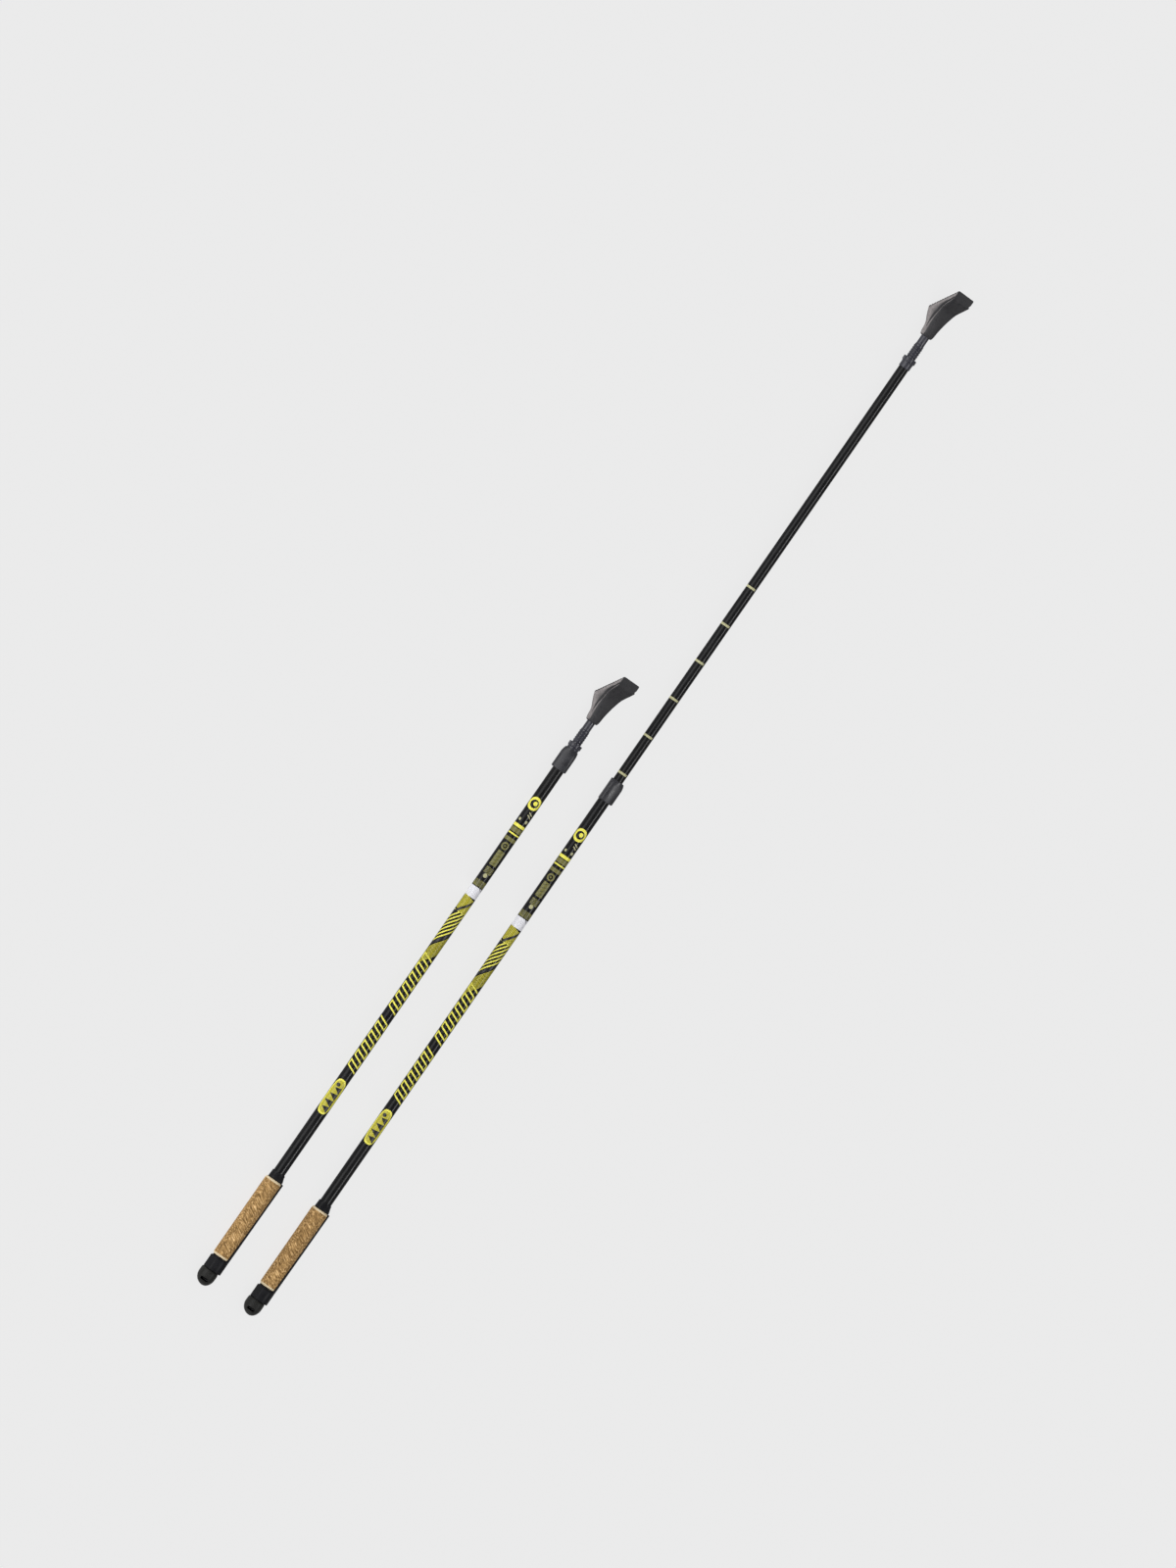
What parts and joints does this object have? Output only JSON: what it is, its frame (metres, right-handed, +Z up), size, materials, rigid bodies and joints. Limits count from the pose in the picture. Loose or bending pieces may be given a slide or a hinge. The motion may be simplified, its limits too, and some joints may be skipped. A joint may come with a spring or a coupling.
{
  "type": "trekking poles",
  "caption": "Pair of telescoping walking poles with cork grips, inner twist locks, length marks and boot-shaped rubber paws; one pulled out, one pushed in.",
  "frame": {"origin": "on the ground, under the middle of the box round both poles", "axes": "+Y from the grips to the tips, +Z up (the toes of the paws point up), +X to the right pole"},
  "size_m": [0.0998, 1.379, 0.0334],
  "materials": {
    "cork": "matt natural cork with dark and light granules",
    "grip_plastic": "fine-textured black moulding",
    "lock_plastic": "satin dark grey moulding",
    "black_lacquer": "gloss black lacquer on aluminium tube, with a printed yellow and white pattern",
    "rubber": "matt black moulded rubber",
    "steel": "turned, zinc plated",
    "carbide": "ground hard metal",
    "brass": "turned",
    "white_nylon": "natural nylon",
    "red_nylon": "red nylon"
  },
  "bodies": {
    "right_upper": {"right_grip_cap": "grip_plastic", "right_strap_pin": "steel", "right_grip_body": "grip_plastic", "right_cork_wrap": "cork", "right_upper_tube": "black_lacquer", "right_lock_collar": "lock_plastic"},
    "right_lock": {"right_lock_expander": "red_nylon"},
    "right_cone": {"right_lock_cone": "brass"},
    "right_lower": {"right_lower_tube": "black_lacquer", "right_lock_plug": "white_nylon", "right_lock_stud": "steel", "right_lock_nut": "steel", "right_tip_ferrule": "lock_plastic", "right_carbide_tip": "carbide"},
    "right_washer": {"right_paw_washer": "steel"},
    "right_paw": {"right_rubber_paw": "rubber"},
    "left_upper": {"left_grip_cap": "grip_plastic", "left_strap_pin": "steel", "left_grip_body": "grip_plastic", "left_cork_wrap": "cork", "left_upper_tube": "black_lacquer", "left_lock_collar": "lock_plastic"},
    "left_lock": {"left_lock_expander": "red_nylon"},
    "left_cone": {"left_lock_cone": "brass"},
    "left_lower": {"left_lower_tube": "black_lacquer", "left_lock_plug": "white_nylon", "left_lock_stud": "steel", "left_lock_nut": "steel", "left_tip_ferrule": "lock_plastic", "left_carbide_tip": "carbide"},
    "left_washer": {"left_paw_washer": "steel"},
    "left_paw": {"left_rubber_paw": "rubber"}
  },
  "joints": [
    {"name": "right_length", "type": "slide", "parent": "right_upper", "child": "right_lock", "axis": [0, 1, 0], "range_m": [-0.5612, 0.006]},
    {"name": "right_twist", "type": "hinge", "parent": "right_lock", "child": "right_lower", "pos_m": [0.0375, 0, 0.013], "axis": [0, 1, 0], "range_deg": [0, 480]},
    {"name": "right_cone_feed", "type": "slide", "parent": "right_lock", "child": "right_cone", "axis": [0, -1, 0], "range_m": [0, 0.0011]},
    {"name": "right_paw_pull", "type": "slide", "parent": "right_lower", "child": "right_washer", "axis": [0, 1, 0], "range_m": [0, 0.06]},
    {"name": "right_paw_turn", "type": "hinge", "parent": "right_washer", "child": "right_paw", "pos_m": [0.0375, 0, 0.013], "axis": [0, 1, 0], "continuous": true},
    {"name": "left_length", "type": "slide", "parent": "left_upper", "child": "left_lock", "axis": [0, 1, 0], "range_m": [0, 0.5672]},
    {"name": "left_twist", "type": "hinge", "parent": "left_lock", "child": "left_lower", "pos_m": [-0.0375, 0, 0.013], "axis": [0, 1, 0], "range_deg": [0, 480]},
    {"name": "left_cone_feed", "type": "slide", "parent": "left_lock", "child": "left_cone", "axis": [0, -1, 0], "range_m": [0, 0.0011]},
    {"name": "left_paw_pull", "type": "slide", "parent": "left_lower", "child": "left_washer", "axis": [0, 1, 0], "range_m": [0, 0.06]},
    {"name": "left_paw_turn", "type": "hinge", "parent": "left_washer", "child": "left_paw", "pos_m": [-0.0375, 0, 0.013], "axis": [0, 1, 0], "continuous": true},
    {"name": "left_lift", "type": "slide", "parent": "right_upper", "child": "left_upper", "axis": [0, 0, 1], "range_m": [0, 0.3]}
  ],
  "couplings": [
    {"joint": "right_cone_feed", "follows": "right_twist", "m_per_rad": 0.00012732},
    {"joint": "left_cone_feed", "follows": "left_twist", "m_per_rad": 0.00012732}
  ]
}
